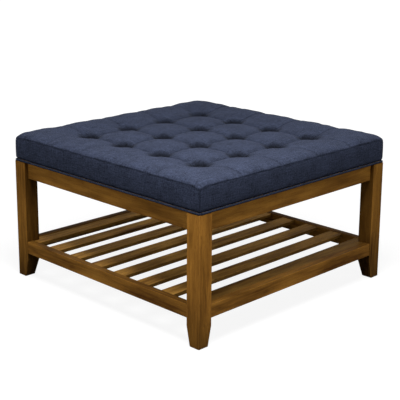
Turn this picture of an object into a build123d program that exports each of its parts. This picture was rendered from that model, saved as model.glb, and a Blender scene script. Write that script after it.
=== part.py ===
from build123d import *
import os
from math import sqrt

# Square ottoman coffee table. A boxed, tufted cushion is upholstered on a plywood board, and the board
# is screwed to a wooden frame of four tapered legs, four aprons and four lower rails. Eight slats
# between the left and right lower rails make an open shelf.
#
# Millimetres, +Z up. The origin is on the floor under the middle of the table. The slats run along X,
# the front of the table faces -Y, and quarter turns round Z carry one corner or side onto the next.

os.makedirs("parts", exist_ok=True)

# The frame, outside to outside of the legs, and from the floor to the leg tops
frame_side = 790.0
frame_height = 365.0
half_side = frame_side / 2

# Legs are square, and their two inner faces taper in below the lower rails
leg_side = 47.0
leg_taper = 12.0
taper_height = 57.0
leg_edge_radius = 2.5

# Nail-on glides under the legs
glide_height = 2.0
glide_radius = 12.0
glide_pin_radius = 2.5
glide_pin_length = 12.0

# Aprons under the seat
apron_height = 51.0
apron_thickness = 22.0
apron_inset = 13.0

# Lower rails, which carry the shelf
rail_height = 38.0
rail_thickness = 22.0
rail_inset = 3.0
rail_floor_gap = 77.0

# Eight slats, let into the left and right rails, a little below the rails' tops
slat_count = 8
slat_width = 48.0
slat_thickness = 11.0
slat_drop = 2.0
slat_side_gap = 0.5
slat_notch_gap = 0.3

# Joinery: rails are tenoned into the legs, slats stub-tenoned into the rails, aprons dowelled
edge_radius = 1.5
joint_clearance = 0.15
tenon_thickness = 10.0
tenon_shoulder = 6.0
tenon_wall = 8.0
slat_tenon_length = 8.0
slat_tenon_shoulder = 2.0
slat_tenon_side = 4.0
dowel_radius = 4.0
dowel_spacing = 28.0
dowel_wall = 1.5
joint_end_gap = 1.0

# Corner blocks, bolted to the legs and screwed to the aprons and to the seat board
block_leg_gap = 4.2
block_thickness = 29.0
block_height = 44.0
bolt_radius = 4.0
bolt_leg_depth = 30.0
bolt_tip_length = 3.0
washer_radius = 9.0
washer_thickness = 1.6
nut_across_flats = 13.0
nut_height = 6.5
screw_radius = 2.0
screw_head_radius = 4.2
screw_head_height = 3.0
block_screw_bite = 14.0
block_screw_offset = 30.0
seat_screw_bite = 10.0
seat_screw_offset = 22.0

# Seat board, with its dust cover below
dust_cover_thickness = 0.8
dust_cover_margin = 12.0
board_thickness = 15.0
board_margin = 7.0

# Cushion: foam, tufted top, sewn side panels and a piping round the bottom edge
foam_thickness = 35.0
fabric_thickness = 2.0
fabric_gap = 0.3
piping_radius = 4.5
piping_leg_gap = 0.5
piping_seam_gap = 0.2
piping_corner_radius = 7.0
panel_setback = 1.5
panel_bulge = 2.5
panel_height = 62.3
cushion_corner_radius = 1.2

# Heights of the tufted top above its seam with the side panels
tuft_pitch = 155.0
tuft_count = 4
pillow_rise = 20.0
edge_pillow_rise = 18.5
corner_pillow_rise = 16.0
crease_rise = 13.0
pleat_rise = 12.0
tuft_rise = 4.0
seam_rise = 0.4
dimple_depth = 27.0
dimple_floor_radius = 11.0
dimple_lip_radius = 30.0
dimple_lip_drop = 8.0

# Covered buttons at the bottom of the tufts, tied through the seat with twine
button_radius = 10.0
button_height = 6.0
button_dome = 4.0
twine_radius = 1.0
twine_hole_radius = 2.0
knot_radius = 3.0
knot_height = 2.5
knot_pocket_radius = 4.0
knot_pocket_depth = 3.0

# One overrun serves every cut that has to pass a face
overrun = 5.0

# Levels, worked out from the sizes above
apron_bottom = frame_height - apron_height
rail_top = rail_floor_gap + rail_height
slat_bottom = rail_top - slat_drop - slat_thickness
board_bottom = frame_height + dust_cover_thickness
board_top = board_bottom + board_thickness
foam_top = board_top + foam_thickness
piping_level = frame_height + piping_leg_gap + piping_radius
panel_bottom = piping_level + piping_radius + piping_seam_gap
seam_level = panel_bottom + panel_height
pillow_top = seam_level + pillow_rise
dimple_floor = pillow_top - dimple_depth

# Distances from the middle of the table
leg_inner = half_side - leg_side
apron_middle = half_side - apron_inset - apron_thickness / 2
apron_inner = half_side - apron_inset - apron_thickness
rail_middle = half_side - rail_inset - rail_thickness / 2
rail_inner = half_side - rail_inset - rail_thickness
between_legs = 2 * leg_inner
board_half = half_side - board_margin
panel_half = half_side - panel_setback
cushion_half = panel_half - fabric_thickness - fabric_gap

# A tenon or dowel stops a wall's thickness short of the one that enters the leg's other inner face
tenon_height = rail_height - 2 * tenon_shoulder
tenon_length = rail_middle - tenon_thickness / 2 - tenon_wall - leg_inner
dowel_depth = apron_middle - dowel_radius - dowel_wall - leg_inner

corner_names = ["back_right", "back_left", "front_left", "front_right"]
side_names = ["right", "back", "left", "front"]


def turned(quarter, height=0):
    """The horizontal plane at a height, turned by quarters round the middle of the table."""
    return Plane((0, 0, height)).rotated((0, 0, 90 * quarter))


def spot(quarter, x, y, z, facing):
    """A plane at a point of the back right corner, facing a direction, both turned by quarters."""
    origin = Vector(x, y, z).rotate(Axis.Z, 90 * quarter)
    normal = Vector(*facing).rotate(Axis.Z, 90 * quarter)
    return Plane(origin=origin, z_dir=normal)


def block(quarter, x, y, low, high, x_size, y_size, mode=Mode.ADD, corner_radius=0):
    """A box round a point of a turned plane, from one level to another."""
    with BuildSketch(turned(quarter, low)) as outline:
        with Locations((x, y)):
            if corner_radius > 0:
                RectangleRounded(x_size, y_size, corner_radius)
            else:
                Rectangle(x_size, y_size)
    extrude(outline.sketch, amount=high - low, mode=mode)


def drill(plane, radius, depth):
    """A round hole, from a plane down into the wood."""
    with BuildSketch(plane) as outline:
        Circle(radius)
    extrude(outline.sketch, amount=-depth, mode=Mode.SUBTRACT)


def rod(plane, radius, length):
    """A round rod, from a plane downwards."""
    with BuildSketch(plane) as outline:
        Circle(radius)
    extrude(outline.sketch, amount=-length)


def wood_screw(plane, length):
    """A countersunk screw whose head is flush with a plane."""
    with BuildSketch(plane) as rim:
        Circle(screw_head_radius)
    with BuildSketch(plane.offset(-screw_head_height)) as neck:
        Circle(screw_radius)
    loft([rim.sketch, neck.sketch], ruled=True)
    rod(plane.offset(-screw_head_height), screw_radius, length - screw_head_height)


def screw_hole(plane, length):
    """The hole of a wood screw, with room for its head."""
    drill(plane.offset(overrun), screw_head_radius + joint_clearance, overrun)
    with BuildSketch(plane) as rim:
        Circle(screw_head_radius + joint_clearance)
    with BuildSketch(plane.offset(-screw_head_height)) as neck:
        Circle(screw_radius + joint_clearance)
    loft([rim.sketch, neck.sketch], ruled=True, mode=Mode.SUBTRACT)
    drill(plane, screw_radius + joint_clearance, length + joint_clearance)


def finish(part, name):
    part.label = name
    export_step(part, f"parts/{name}.step")


# Places that more than one piece shares, for the back right corner or the right side
rail_tenon_low = rail_floor_gap + tenon_shoulder
rail_tenon_high = rail_tenon_low + tenon_height
dowel_levels = [apron_bottom + apron_height / 2 + side * dowel_spacing / 2 for side in (-1, 1)]
bolt_level = apron_bottom + apron_height / 2
block_low = frame_height - block_height
block_near = 2 * leg_inner - sqrt(2) * block_leg_gap
block_far = block_near - sqrt(2) * block_thickness
bolt_head = block_far / 2
bolt_tip = leg_inner + bolt_leg_depth / sqrt(2)
seat_screw_near = (block_near + block_far) / 4 - seat_screw_offset / sqrt(2)
seat_screw_far = (block_near + block_far) / 4 + seat_screw_offset / sqrt(2)
block_screw_along = (block_near + block_far) / 4 - block_screw_offset / sqrt(2)
block_screw_face = block_far - block_screw_along
glide_middle = half_side - (leg_side - leg_taper) / 2


def bolt_plane(quarter, distance):
    """The plane across a corner's bolt, as far out along X and Y as the distance, facing inwards."""
    return spot(quarter, distance, distance, bolt_level, (-1, -1, 0))


def seat_screw_planes(quarter):
    """Two planes under a corner block, facing down, where the seat screws go up."""
    places = [(seat_screw_near, seat_screw_far), (seat_screw_far, seat_screw_near)]
    return [spot(quarter, x, y, block_low, (0, 0, -1)) for x, y in places]


def block_screw_planes(quarter):
    """The planes at the heads of the two screws that hold a corner block to its aprons."""
    return [
        spot(quarter, block_screw_face, block_screw_along, bolt_level, (-1, 0, 0)),
        spot(quarter, block_screw_along, block_screw_face, bolt_level, (0, -1, 0)),
    ]


def dowel_planes(quarter):
    """The four planes at a leg's inner faces where the apron dowels enter."""
    planes = []
    for level in dowel_levels:
        planes.append(spot(quarter, leg_inner, apron_middle, level, (-1, 0, 0)))
        planes.append(spot(quarter, apron_middle, leg_inner, level, (0, -1, 0)))
    return planes


block_screw_length = apron_inner - block_screw_face + block_screw_bite
seat_screw_length = block_height + dust_cover_thickness + seat_screw_bite

# Slats are centred on these places along Y, front to back
slat_span = 2 * (rail_inner - slat_side_gap) - slat_width
slat_middles = [slat_span * (i / (slat_count - 1) - 1 / 2) for i in range(slat_count)]
slat_tenon_low = slat_bottom + slat_tenon_shoulder
slat_tenon_high = slat_bottom + slat_thickness - slat_tenon_shoulder
slat_tenon_width = slat_width - 2 * slat_tenon_side

# Legs
for quarter, corner in enumerate(corner_names):
    with BuildPart() as leg:
        foot_side = leg_side - leg_taper
        with BuildSketch(turned(quarter, glide_height)):
            with Locations((half_side, half_side)):
                RectangleRounded(foot_side, foot_side, leg_edge_radius, align=(Align.MAX, Align.MAX))
        with BuildSketch(turned(quarter, taper_height)):
            with Locations((half_side, half_side)):
                RectangleRounded(leg_side, leg_side, leg_edge_radius, align=(Align.MAX, Align.MAX))
        loft(ruled=True)
        with BuildSketch(turned(quarter, taper_height)):
            with Locations((half_side, half_side)):
                RectangleRounded(leg_side, leg_side, leg_edge_radius, align=(Align.MAX, Align.MAX))
        extrude(amount=frame_height - taper_height)
        # Mortises for the two lower rails
        mortise_depth = tenon_length + joint_end_gap
        mortise_middle = leg_inner + mortise_depth / 2
        mortise_width = tenon_thickness + 2 * joint_clearance
        low = rail_tenon_low - joint_clearance
        high = rail_tenon_high + joint_clearance
        block(quarter, mortise_middle, rail_middle, low, high, mortise_depth, mortise_width, Mode.SUBTRACT)
        block(quarter, rail_middle, mortise_middle, low, high, mortise_width, mortise_depth, Mode.SUBTRACT)
        # Dowel holes for the two aprons, the bolt's hole and the glide's hole
        for plane in dowel_planes(quarter):
            drill(plane, dowel_radius + joint_clearance, dowel_depth)
        bolt_hole = sqrt(2) * (bolt_tip - bolt_head) + joint_clearance
        drill(bolt_plane(quarter, bolt_head), bolt_radius + joint_clearance, bolt_hole)
        foot_plane = spot(quarter, glide_middle, glide_middle, glide_height, (0, 0, -1))
        drill(foot_plane, glide_pin_radius + joint_clearance, glide_pin_length + joint_clearance)
    finish(leg.part, f"leg_{corner}")

# Lower rails, with a tenon at each end
for quarter, side in enumerate(side_names):
    with BuildPart() as rail:
        block(quarter, rail_middle, 0, rail_floor_gap, rail_top, rail_thickness, between_legs)
        along = Axis.Y if quarter % 2 == 0 else Axis.X
        fillet(rail.edges().filter_by(along), edge_radius)
        for end in (-1, 1):
            middle = end * (leg_inner + tenon_length / 2)
            low, high = rail_tenon_low, rail_tenon_high
            block(quarter, rail_middle, middle, low, high, tenon_thickness, tenon_length)
        if side in ("left", "right"):
            low = slat_tenon_low - joint_clearance
            high = slat_tenon_high + joint_clearance
            depth = slat_tenon_length + joint_end_gap
            width = slat_tenon_width + 2 * joint_clearance
            for middle in slat_middles:
                block(quarter, rail_inner + depth / 2, middle, low, high, depth, width, Mode.SUBTRACT)
    finish(rail.part, f"lower_rail_{side}")

# Slats, let into the rails by a stub tenon at each end
for number, middle in enumerate(slat_middles, start=1):
    with BuildPart() as slat:
        block(0, 0, middle, slat_bottom, slat_bottom + slat_thickness, 2 * rail_inner, slat_width)
        fillet(slat.edges().filter_by(Axis.X), edge_radius)
        for end in (-1, 1):
            tenon = end * (rail_inner + slat_tenon_length / 2)
            low, high = slat_tenon_low, slat_tenon_high
            block(0, tenon, middle, low, high, slat_tenon_length, slat_tenon_width)
        # The first and last slats are notched round the legs
        notch = leg_side + slat_notch_gap
        for quarter in range(len(corner_names)):
            corner = half_side - notch / 2
            block(quarter, corner, corner, slat_bottom, rail_top, notch, notch, Mode.SUBTRACT)
    finish(slat.part, f"slat_{number}")

# Aprons, drilled at their ends for the dowels and inside for the corner blocks' screws
for quarter, side in enumerate(side_names):
    with BuildPart() as apron:
        block(quarter, apron_middle, 0, apron_bottom, frame_height, apron_thickness, between_legs)
        along = Axis.Y if quarter % 2 == 0 else Axis.X
        fillet(apron.edges().filter_by(along).group_by(Axis.Z)[0], edge_radius)
        for level in dowel_levels:
            for end in (-1, 1):
                plane = spot(quarter, apron_middle, end * leg_inner, level, (0, end, 0))
                drill(plane, dowel_radius + joint_clearance, dowel_depth)
        for end in (-1, 1):
            plane = spot(quarter, block_screw_face, end * block_screw_along, bolt_level, (-1, 0, 0))
            drill(plane, screw_radius + joint_clearance, block_screw_length + joint_clearance)
    finish(apron.part, f"apron_{side}")

# Corner blocks, cut to a mitred shape that clears the leg and lies against both aprons
for quarter, corner in enumerate(corner_names):
    with BuildPart() as corner_block:
        with BuildSketch(turned(quarter, block_low)):
            with BuildLine():
                Polyline(
                    (apron_inner, block_near - apron_inner),
                    (block_near - apron_inner, apron_inner),
                    (block_far - apron_inner, apron_inner),
                    (apron_inner, block_far - apron_inner),
                    close=True,
                )
            make_face()
        extrude(amount=block_height)
        bolt_hole = sqrt(2) * (bolt_tip - bolt_head)
        drill(bolt_plane(quarter, bolt_head), bolt_radius + joint_clearance, bolt_hole)
        for plane in block_screw_planes(quarter):
            screw_hole(plane, block_screw_length)
        for plane in seat_screw_planes(quarter):
            screw_hole(plane, seat_screw_length)
    finish(corner_block.part, f"corner_block_{corner}")

# Hanger bolts through the corner blocks into the legs, with their washers and nuts
with BuildPart() as leg_bolts:
    for quarter in range(len(corner_names)):
        stand_out = washer_thickness + nut_height + bolt_tip_length
        start = bolt_head - stand_out / sqrt(2)
        rod(bolt_plane(quarter, start), bolt_radius, sqrt(2) * (bolt_tip - start))
finish(leg_bolts.part, "leg_bolts")

with BuildPart() as bolt_washers:
    for quarter in range(len(corner_names)):
        with BuildSketch(bolt_plane(quarter, bolt_head)):
            Circle(washer_radius)
            Circle(bolt_radius + joint_clearance, mode=Mode.SUBTRACT)
        extrude(amount=washer_thickness)
finish(bolt_washers.part, "bolt_washers")

with BuildPart() as bolt_nuts:
    for quarter in range(len(corner_names)):
        with BuildSketch(bolt_plane(quarter, bolt_head).offset(washer_thickness)):
            RegularPolygon(nut_across_flats / 2, 6, major_radius=False)
            Circle(bolt_radius + joint_clearance, mode=Mode.SUBTRACT)
        extrude(amount=nut_height)
finish(bolt_nuts.part, "bolt_nuts")

with BuildPart() as block_screws:
    for quarter in range(len(corner_names)):
        for plane in block_screw_planes(quarter):
            wood_screw(plane, block_screw_length)
finish(block_screws.part, "corner_block_screws")

with BuildPart() as seat_screws:
    for quarter in range(len(corner_names)):
        for plane in seat_screw_planes(quarter):
            wood_screw(plane, seat_screw_length)
finish(seat_screws.part, "seat_screws")

# Dowels, half in a leg and half in an apron, a little short of the bottoms of their holes
with BuildPart() as dowels:
    for quarter in range(len(corner_names)):
        dowel_half = dowel_depth - joint_end_gap
        for plane in dowel_planes(quarter):
            rod(plane.offset(dowel_half), dowel_radius, 2 * dowel_half)
finish(dowels.part, "apron_dowels")

with BuildPart() as glides:
    for quarter in range(len(corner_names)):
        floor_plane = spot(quarter, glide_middle, glide_middle, 0, (0, 0, -1))
        rod(floor_plane, glide_radius, glide_height)
        rod(floor_plane.offset(-glide_height), glide_pin_radius, glide_pin_length)
finish(glides.part, "leg_glides")

# Dust cover, a thin cloth between the seat board and the frame
with BuildPart() as dust_cover:
    cover_side = 2 * (half_side - dust_cover_margin)
    block(0, 0, 0, frame_height, board_bottom, cover_side, cover_side)
    for quarter in range(len(corner_names)):
        for plane in seat_screw_planes(quarter):
            drill(plane, screw_radius + joint_clearance, seat_screw_length)
finish(dust_cover.part, "dust_cover")

# Seat board, drilled for the tufts' twine, with a pocket for each knot underneath
with BuildPart() as seat_board:
    board_side = 2 * board_half
    corner_radius = piping_corner_radius - piping_radius
    block(0, 0, 0, board_bottom, board_top, board_side, board_side, corner_radius=corner_radius)
    with Locations(Plane.XY.offset(board_bottom)):
        with GridLocations(tuft_pitch, tuft_pitch, tuft_count, tuft_count):
            Cylinder(
                twine_hole_radius,
                board_thickness,
                align=(Align.CENTER, Align.CENTER, Align.MIN),
                mode=Mode.SUBTRACT,
            )
            Cylinder(
                knot_pocket_radius,
                knot_pocket_depth,
                align=(Align.CENTER, Align.CENTER, Align.MIN),
                mode=Mode.SUBTRACT,
            )
    for quarter in range(len(corner_names)):
        for plane in seat_screw_planes(quarter):
            drill(plane, screw_radius + joint_clearance, seat_screw_length + joint_clearance)
finish(seat_board.part, "seat_board")

# Foam block, pierced where the twine passes
with BuildPart() as foam_core:
    foam_side = 2 * cushion_half
    block(0, 0, 0, board_top, foam_top, foam_side, foam_side, corner_radius=cushion_corner_radius)
    with Locations(Plane.XY.offset(board_top)):
        with GridLocations(tuft_pitch, tuft_pitch, tuft_count, tuft_count):
            Cylinder(
                twine_hole_radius,
                foam_thickness,
                align=(Align.CENTER, Align.CENTER, Align.MIN),
                mode=Mode.SUBTRACT,
            )
finish(foam_core.part, "foam_core")

# The tufted top. Lines through the tufts divide it into rows of cells, and each cell is a pillow: its
# surface arches from crease to crease one way, and the loft through three cross-sections arches it
# the other way. At the outer edge all heights come down to the seam.
tuft_lines = [tuft_pitch * (i - (tuft_count - 1) / 2) for i in range(tuft_count)]
cell_lines = [-cushion_half, *tuft_lines, cushion_half]
cell_count = len(cell_lines) - 1


def top_section(y, ends, crests):
    """A cross-section of the top at y: flat below, and above it an arch over each cell."""
    with BuildSketch(Plane.XZ.offset(-y)) as section:
        with BuildLine():
            heights = [0, *ends, 0]
            for i in range(cell_count):
                start = (cell_lines[i], seam_level + heights[i])
                middle = ((cell_lines[i] + cell_lines[i + 1]) / 2, seam_level + crests[i])
                stop = (cell_lines[i + 1], seam_level + heights[i + 1])
                ThreePointArc(start, middle, stop)
            Polyline(
                (cushion_half, seam_level),
                (cushion_half, foam_top),
                (-cushion_half, foam_top),
                (-cushion_half, seam_level),
            )
        make_face()
    return section.sketch


inner_cells = cell_count - 2
edge_line = ([0] * tuft_count, [seam_rise] * cell_count)
tuft_line = ([tuft_rise] * tuft_count, [pleat_rise, *[crease_rise] * inner_cells, pleat_rise])
edge_row_crests = [corner_pillow_rise, *[edge_pillow_rise] * inner_cells, corner_pillow_rise]
edge_row = ([pleat_rise] * tuft_count, edge_row_crests)
inner_row_crests = [edge_pillow_rise, *[pillow_rise] * inner_cells, edge_pillow_rise]
inner_row = ([crease_rise] * tuft_count, inner_row_crests)

with BuildPart() as tufted_top:
    for row in range(cell_count):
        first = row == 0
        last = row == cell_count - 1
        start = cell_lines[row]
        stop = cell_lines[row + 1]
        sections = [
            top_section(start, *(edge_line if first else tuft_line)),
            top_section((start + stop) / 2, *(edge_row if first or last else inner_row)),
            top_section(stop, *(edge_line if last else tuft_line)),
        ]
        loft(sections)
    # Each tuft draws the cloth down into a dimple with a rounded lip
    lip_level = pillow_top - dimple_lip_drop
    for x in tuft_lines:
        for y in tuft_lines:
            with BuildSketch(Plane(origin=(x, y, 0), x_dir=(1, 0, 0), z_dir=(0, -1, 0))):
                with BuildLine():
                    lip_share = 1 - sqrt(1 / 2)
                    Line((0, dimple_floor), (dimple_floor_radius, dimple_floor))
                    ThreePointArc(
                        (dimple_floor_radius, dimple_floor),
                        (
                            dimple_floor_radius + lip_share * (dimple_lip_radius - dimple_floor_radius),
                            lip_level - lip_share * (lip_level - dimple_floor),
                        ),
                        (dimple_lip_radius, lip_level),
                    )
                    Line((dimple_lip_radius, lip_level), (dimple_lip_radius, pillow_top + overrun))
                    Line((dimple_lip_radius, pillow_top + overrun), (0, pillow_top + overrun))
                    Line((0, pillow_top + overrun), (0, dimple_floor))
                make_face()
            revolve(axis=Axis((x, y, 0), (0, 0, 1)), mode=Mode.SUBTRACT)
    with Locations(Plane.XY.offset(foam_top)):
        with GridLocations(tuft_pitch, tuft_pitch, tuft_count, tuft_count):
            Cylinder(
                twine_hole_radius,
                dimple_floor - foam_top,
                align=(Align.CENTER, Align.CENTER, Align.MIN),
                mode=Mode.SUBTRACT,
            )
finish(tufted_top.part, "tufted_top")

# Side panels, bulged a little between their seams and mitred where they are sewn at the corners
for quarter, side in enumerate(side_names):
    with BuildPart() as panel:
        across = Vector(0, -1, 0).rotate(Axis.Z, 90 * quarter)
        outwards = Vector(1, 0, 0).rotate(Axis.Z, 90 * quarter)
        with BuildSketch(Plane(origin=(0, 0, 0), x_dir=outwards, z_dir=across)):
            with BuildLine():
                outer = panel_half
                inner = panel_half - fabric_thickness
                middle = panel_bottom + panel_height / 2
                ThreePointArc((outer, panel_bottom), (outer + panel_bulge, middle), (outer, seam_level))
                Line((outer, seam_level), (inner, seam_level))
                ThreePointArc((inner, seam_level), (inner + panel_bulge, middle), (inner, panel_bottom))
                Line((inner, panel_bottom), (outer, panel_bottom))
            make_face()
        extrude(amount=half_side + overrun, both=True)
        for end in (-1, 1):
            mitre = Plane(origin=(0, 0, 0), z_dir=Vector(1, end, 0).rotate(Axis.Z, 90 * quarter))
            split(bisect_by=mitre, keep=Keep.TOP)
    finish(panel.part, f"side_panel_{side}")

# Piping round the bottom edge
piping_half = board_half + piping_radius
with BuildPart() as piping:
    with BuildLine():
        loop = FilletPolyline(
            (piping_half, -piping_half, piping_level),
            (piping_half, piping_half, piping_level),
            (-piping_half, piping_half, piping_level),
            (-piping_half, -piping_half, piping_level),
            radius=piping_corner_radius,
            close=True,
        )
    with BuildSketch(Plane(origin=loop @ 0, z_dir=loop % 0)):
        Circle(piping_radius)
    sweep()
finish(piping.part, "piping")

# Covered buttons, and the twine that ties each one down to a knot under the board
with BuildPart() as buttons:
    with Locations(Plane.XY.offset(dimple_floor)):
        with GridLocations(tuft_pitch, tuft_pitch, tuft_count, tuft_count):
            Cylinder(button_radius, button_height, align=(Align.CENTER, Align.CENTER, Align.MIN))
    fillet(buttons.edges().group_by(Axis.Z)[-1], button_dome)
finish(buttons.part, "tuft_buttons")

with BuildPart() as twine:
    with Locations(Plane.XY.offset(board_bottom + knot_pocket_depth - knot_height)):
        with GridLocations(tuft_pitch, tuft_pitch, tuft_count, tuft_count):
            Cylinder(knot_radius, knot_height, align=(Align.CENTER, Align.CENTER, Align.MIN))
            twine_length = dimple_floor - board_bottom - knot_pocket_depth + knot_height
            Cylinder(twine_radius, twine_length, align=(Align.CENTER, Align.CENTER, Align.MIN))
finish(twine.part, "tuft_twine")
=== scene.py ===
# %% [markdown]
# # A tufted ottoman coffee table
#
# The table is a square wooden frame on four tapered legs, with a slatted shelf near the floor and a
# boxed cushion of navy cloth on top. The cushion is tufted: sixteen buttons, tied down through the foam,
# pull its top into pillows.
#
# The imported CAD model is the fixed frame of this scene. Every wooden and metal piece stays as it is and
# gets a finish. The cushion's cloth is made again here, because cloth has seams, folds and a weave that
# exact solids leave out. All lengths are metres in the CAD's own axes, so nothing needs fitting.

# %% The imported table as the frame
import math

import bpy
import numpy as np
from mathutils import Matrix, Vector


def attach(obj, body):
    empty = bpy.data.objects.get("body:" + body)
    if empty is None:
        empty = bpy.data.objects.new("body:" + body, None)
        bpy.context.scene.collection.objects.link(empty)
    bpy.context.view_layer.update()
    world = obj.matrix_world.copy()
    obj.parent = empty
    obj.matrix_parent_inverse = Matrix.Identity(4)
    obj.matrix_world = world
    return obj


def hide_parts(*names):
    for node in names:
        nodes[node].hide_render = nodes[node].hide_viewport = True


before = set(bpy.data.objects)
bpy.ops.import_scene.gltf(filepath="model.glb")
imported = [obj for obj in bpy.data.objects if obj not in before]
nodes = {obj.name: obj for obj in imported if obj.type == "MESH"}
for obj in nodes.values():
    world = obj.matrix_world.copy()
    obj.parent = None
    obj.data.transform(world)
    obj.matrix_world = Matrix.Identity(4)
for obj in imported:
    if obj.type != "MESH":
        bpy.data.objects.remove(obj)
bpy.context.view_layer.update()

mm = 0.001

# %% [markdown]
# ## Camera
#
# A product photograph is taken from a little above, here looking at the corner between the front and the
# left side. Its place and angle were solved from the table's edges, so the camera is set by the same
# numbers: a point, the way it looks, a small roll, and a small shift of the lens, which holds the table low
# in the picture and keeps its legs nearly upright. A camera's own axes are right, up and backwards.

# %% Camera
camera_data = bpy.data.cameras.new("camera")
camera_data.sensor_width = 36.0
camera_data.lens = 92.8
camera_data.shift_y = -0.1
camera = bpy.data.objects.new("camera", camera_data)
bpy.context.collection.objects.link(camera)
azimuth, pitch, roll = (math.radians(angle) for angle in (44.796, 14.280, 0.387))
forward = Vector((math.cos(pitch) * math.cos(azimuth), math.cos(pitch) * math.sin(azimuth), -math.sin(pitch)))
level_right = Vector((math.sin(azimuth), -math.cos(azimuth), 0))
level_up = level_right.cross(forward)
right = math.cos(roll) * level_right + math.sin(roll) * level_up
up = -math.sin(roll) * level_right + math.cos(roll) * level_up
turn = Matrix((right, up, -forward)).transposed().to_4x4()
camera.matrix_world = Matrix.Translation((-2.1477, -2.1352, 1.1400)) @ turn
bpy.context.scene.camera = camera
bpy.context.scene.view_settings.view_transform = "Standard"

# %% [markdown]
# ## Wiring helpers
#
# A procedural finish is a graph of small sums. These helpers build such graphs line by line: each one adds
# a node, feeds it numbers or other nodes' results, and hands back its result. An effect that several
# finishes share is kept in a node group with named inputs and outputs.


# %% Wiring helpers
def feed(tree, socket, value):
    """Links another result to a socket, or sets the socket to a plain value."""
    if isinstance(value, bpy.types.NodeSocket):
        tree.links.new(value, socket)
    elif value is not None:
        socket.default_value = value


def calc(tree, operation, *values):
    """One sum on numbers, such as ADD or SINE."""
    node = tree.nodes.new("ShaderNodeMath")
    node.operation = operation
    for socket, value in zip(node.inputs, values):
        feed(tree, socket, value)
    return node.outputs[0]


def vector_calc(tree, operation, *values):
    """One sum on vectors."""
    node = tree.nodes.new("ShaderNodeVectorMath")
    node.operation = operation
    for socket, value in zip(node.inputs, values):
        feed(tree, socket, value)
    return node.outputs[0]


def split(tree, vector):
    """The three parts of a vector."""
    node = tree.nodes.new("ShaderNodeSeparateXYZ")
    feed(tree, node.inputs[0], vector)
    return node.outputs


def combine(tree, x, y, z):
    """One vector from three numbers."""
    node = tree.nodes.new("ShaderNodeCombineXYZ")
    for socket, value in zip(node.inputs, (x, y, z)):
        feed(tree, socket, value)
    return node.outputs[0]


def noise(tree, place, scale, detail=2.0, roughness=0.5, distortion=0.0):
    """Soft random values round 0.5, one lump in about 1 / scale metres."""
    node = tree.nodes.new("ShaderNodeTexNoise")
    for name, value in (("Vector", place), ("Scale", scale), ("Detail", detail), ("Roughness", roughness)):
        feed(tree, node.inputs[name], value)
    node.inputs["Distortion"].default_value = distortion
    return node.outputs[0]


def spread(tree, value, low, high, new_low=0.0, new_high=1.0):
    """Stretches a range of values to another one and cuts off what lies outside."""
    node = tree.nodes.new("ShaderNodeMapRange")
    for socket, number in zip(node.inputs, (value, low, high, new_low, new_high)):
        feed(tree, socket, number)
    return node.outputs[0]


def mix_colors(tree, share, first, second, kind="MIX"):
    """A colour that goes from the first to the second, or to their product with MULTIPLY, by a share."""
    node = tree.nodes.new("ShaderNodeMix")
    node.data_type = "RGBA"
    node.blend_type = kind
    for index, value in ((0, share), (6, first), (7, second)):
        feed(tree, node.inputs[index], value)
    return node.outputs[2]


def mix_values(tree, share, first, second):
    """A number that goes from the first to the second by a share."""
    node = tree.nodes.new("ShaderNodeMix")
    for index, value in ((0, share), (2, first), (3, second)):
        feed(tree, node.inputs[index], value)
    return node.outputs[0]


def varied(tree, value, pattern, strength):
    """A value plus a pattern round 0.5, times the pattern's strength."""
    return calc(tree, "ADD", value, calc(tree, "MULTIPLY", calc(tree, "SUBTRACT", pattern, 0.5), strength))


def shaded(tree, color, shade):
    """A colour times one number, which changes its brightness and not its hue."""
    return mix_colors(tree, 1.0, color, combine(tree, shade, shade, shade), "MULTIPLY")


def distance(tree, x, y):
    """How far a point lies from the middle of a plane."""
    return calc(tree, "SQRT", calc(tree, "ADD", calc(tree, "MULTIPLY", x, x), calc(tree, "MULTIPLY", y, y)))


def new_group(title, takes, gives):
    """An empty node group with its sockets: returns its tree, what it takes and where its results go."""
    tree = bpy.data.node_groups.new(title, "ShaderNodeTree")
    for name, kind, start in takes:
        socket = tree.interface.new_socket(name, in_out="INPUT", socket_type="NodeSocket" + kind)
        if start is not None:
            socket.default_value = start
    for name, kind in gives:
        tree.interface.new_socket(name, in_out="OUTPUT", socket_type="NodeSocket" + kind)
    return tree, tree.nodes.new("NodeGroupInput").outputs, tree.nodes.new("NodeGroupOutput").inputs


def use_group(tree, group, **values):
    """Places a group in a material and feeds its inputs, whose spaces are written as underscores."""
    node = tree.nodes.new("ShaderNodeGroup")
    node.node_tree = group
    for name, value in values.items():
        feed(tree, node.inputs[name.replace("_", " ")], value)
    return node.outputs


def new_material(name):
    """A fresh material: returns it, its tree and its shader."""
    material = bpy.data.materials.new(name)
    material.use_nodes = True
    return material, material.node_tree, material.node_tree.nodes["Principled BSDF"]


def object_place(tree, turned=(0, 0, 0)):
    """Where a point is on the table, in metres, with the axes turned to suit the piece."""
    place = tree.nodes.new("ShaderNodeTexCoord").outputs["Object"]
    mapping = tree.nodes.new("ShaderNodeMapping")
    mapping.inputs["Rotation"].default_value = turned
    tree.links.new(place, mapping.inputs["Vector"])
    return mapping.outputs[0]


def bump(tree, shader, height, depth):
    """Makes a height pattern look raised: depth is its tallest point in metres."""
    node = tree.nodes.new("ShaderNodeBump")
    node.inputs["Distance"].default_value = depth
    node.inputs["Strength"].default_value = 1.0
    tree.links.new(height, node.inputs["Height"])
    tree.links.new(node.outputs[0], shader.inputs["Normal"])


def rgb(red, green, blue):
    """A colour written as on a screen, 0 to 255, turned into the linear shares that shaders use."""
    shares = np.array([red, green, blue]) / 255
    linear = np.where(shares <= 0.04045, shares / 12.92, ((shares + 0.055) / 1.055) ** 2.4)
    return (*linear.tolist(), 1.0)


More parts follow.
